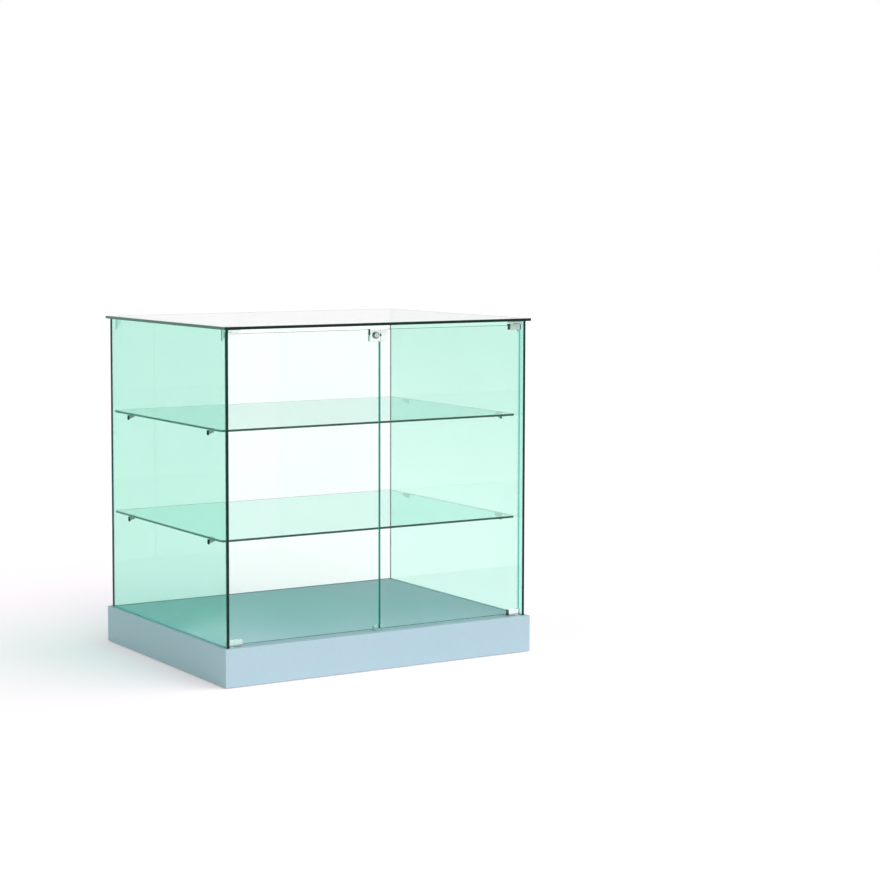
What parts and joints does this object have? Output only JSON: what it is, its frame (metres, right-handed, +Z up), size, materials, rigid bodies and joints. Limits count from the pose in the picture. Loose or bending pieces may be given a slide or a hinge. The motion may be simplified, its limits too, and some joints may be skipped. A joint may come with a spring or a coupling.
{
  "type": "display counter",
  "caption": "Free-standing glass display counter with hinged glass doors, a clamp-on door lock and glass shelves, on a low laminate plinth.",
  "frame": {"origin": "on the floor under the middle of the counter", "axes": "+Z up, -Y out of the door side, +X to the right of someone facing the doors"},
  "size_m": [1, 0.78, 0.98],
  "materials": {
    "plinth_laminate": "satin laminate on board",
    "raw_board": "bare board",
    "glass_green": "polished float glass, ground edges",
    "glass_clear": "polished clear glass, ground edges",
    "clear_plastic": "clear moulded",
    "chrome": "bright plated",
    "steel": "bright steel",
    "nylon": "moulded",
    "rubber": "black strip"
  },
  "bodies": {
    "counter": {"bracket_lower_left_back": "chrome", "bracket_lower_left_front": "chrome", "bracket_lower_right_back": "chrome", "bracket_lower_right_front": "chrome", "bracket_upper_left_back": "chrome", "bracket_upper_left_front": "chrome", "bracket_upper_right_back": "chrome", "bracket_upper_right_front": "chrome", "deck_bushes": "nylon", "door_stop": "clear_plastic", "floor_glides": "nylon", "glass_back": "glass_clear", "glass_left": "glass_green", "glass_right": "glass_green", "glass_top": "glass_clear", "glazing_strips": "rubber", "pivot_plate_left": "chrome", "pivot_plate_right": "chrome", "plinth_back": "plinth_laminate", "plinth_corner_blocks": "raw_board", "plinth_deck": "plinth_laminate", "plinth_front": "plinth_laminate", "plinth_left": "plinth_laminate", "plinth_rail": "raw_board", "plinth_right": "plinth_laminate", "plinth_screws": "steel", "shelf_lower": "glass_green", "shelf_pads_lower": "clear_plastic", "shelf_pads_upper": "clear_plastic", "shelf_upper": "glass_green", "top_bushes": "nylon", "top_gussets": "clear_plastic"},
    "left_door": {"door_left": "glass_clear", "hinge_clamp_left_lower": "chrome", "hinge_clamp_left_upper": "chrome", "hinge_pins_left": "steel", "hinge_pads_left": "clear_plastic", "hinge_screws_left": "steel", "lock_case": "chrome", "lock_barrel": "chrome", "lock_cover": "steel", "lock_cover_screws": "steel", "lock_screws": "steel", "lock_pad": "clear_plastic"},
    "right_door": {"door_right": "glass_clear", "hinge_clamp_right_lower": "chrome", "hinge_clamp_right_upper": "chrome", "hinge_pins_right": "steel", "hinge_pads_right": "clear_plastic", "hinge_screws_right": "steel", "strike_case": "chrome", "strike_spacer": "chrome", "strike_cover": "chrome", "strike_rivets": "steel", "strike_screws": "steel", "strike_pad": "clear_plastic"},
    "lock_plug": {"lock_plug": "chrome"},
    "lock_bolt": {"lock_bolt": "steel"}
  },
  "joints": [
    {"name": "left_door_swing", "type": "hinge", "parent": "counter", "child": "left_door", "pos_m": [-0.47, -0.362, 0.54], "axis": [0, 0, -1], "range_deg": [0, 100]},
    {"name": "right_door_swing", "type": "hinge", "parent": "counter", "child": "right_door", "pos_m": [0.47, -0.362, 0.54], "axis": [0, 0, 1], "range_deg": [0, 100]},
    {"name": "lock_turn", "type": "hinge", "parent": "left_door", "child": "lock_plug", "pos_m": [-0.018, -0.372, 0.9443], "axis": [0, 1, 0], "range_deg": [0, 90]},
    {"name": "bolt_slide", "type": "slide", "parent": "left_door", "child": "lock_bolt", "axis": [1, 0, 0], "range_m": [0, 0.01]}
  ],
  "couplings": [
    {"joint": "lock_turn", "follows": "bolt_slide", "rad_per_m": 157.08}
  ]
}
